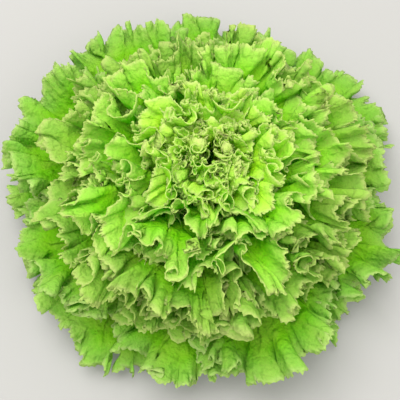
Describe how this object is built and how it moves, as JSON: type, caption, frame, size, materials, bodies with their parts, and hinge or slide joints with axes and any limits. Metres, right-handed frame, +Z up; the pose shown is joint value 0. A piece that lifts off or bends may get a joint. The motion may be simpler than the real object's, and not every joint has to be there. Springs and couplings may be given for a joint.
{
  "type": "lettuce",
  "caption": "Head of curly green lettuce cut at the stem: frilled leaves in a spiral round a tight heart, standing on the cut.",
  "frame": {"origin": "centre of the stem's cut face, on the surface that the head stands on", "axes": "+Z up along the stem, +X to the right in the picture, +Y away from its camera"},
  "size_m": [0.2908, 0.3043, 0.1211],
  "materials": {
    "stem": "pale moist stem, a little browned and milky on the cut",
    "heart": "young leaf, pale yellow-green, satin, lime edges",
    "inner_leaf": "thin leaf, bright yellow-green, translucent, satin, lime edges",
    "middle_leaf": "leaf green with pale ribs and lime edges, translucent, satin",
    "outer_leaf": "mid green with pale ribs and a waxy sheen, lime edges"
  },
  "bodies": {
    "root": {"heart": "heart", "inner_leaf_01": "inner_leaf", "inner_leaf_02": "inner_leaf", "inner_leaf_03": "inner_leaf", "inner_leaf_04": "inner_leaf", "inner_leaf_05": "inner_leaf", "inner_leaf_06": "inner_leaf", "inner_leaf_07": "inner_leaf", "inner_leaf_08": "inner_leaf", "inner_leaf_09": "inner_leaf", "inner_leaf_10": "inner_leaf", "inner_leaf_11": "inner_leaf", "middle_leaf_01": "middle_leaf", "middle_leaf_02": "middle_leaf", "middle_leaf_03": "middle_leaf", "middle_leaf_04": "middle_leaf", "middle_leaf_05": "middle_leaf", "middle_leaf_06": "middle_leaf", "middle_leaf_07": "middle_leaf", "middle_leaf_08": "middle_leaf", "middle_leaf_09": "middle_leaf", "middle_leaf_10": "middle_leaf", "middle_leaf_11": "middle_leaf", "middle_leaf_12": "middle_leaf", "middle_leaf_13": "middle_leaf", "middle_leaf_14": "middle_leaf", "middle_leaf_15": "middle_leaf", "middle_leaf_16": "middle_leaf", "outer_leaf_01": "outer_leaf", "outer_leaf_02": "outer_leaf", "outer_leaf_03": "outer_leaf", "outer_leaf_04": "outer_leaf", "outer_leaf_05": "outer_leaf", "outer_leaf_06": "outer_leaf", "outer_leaf_07": "outer_leaf", "outer_leaf_08": "outer_leaf", "outer_leaf_09": "outer_leaf", "outer_leaf_10": "outer_leaf", "outer_leaf_11": "outer_leaf", "outer_leaf_12": "outer_leaf", "outer_leaf_13": "outer_leaf", "stem": "stem"}
  },
  "joints": []
}
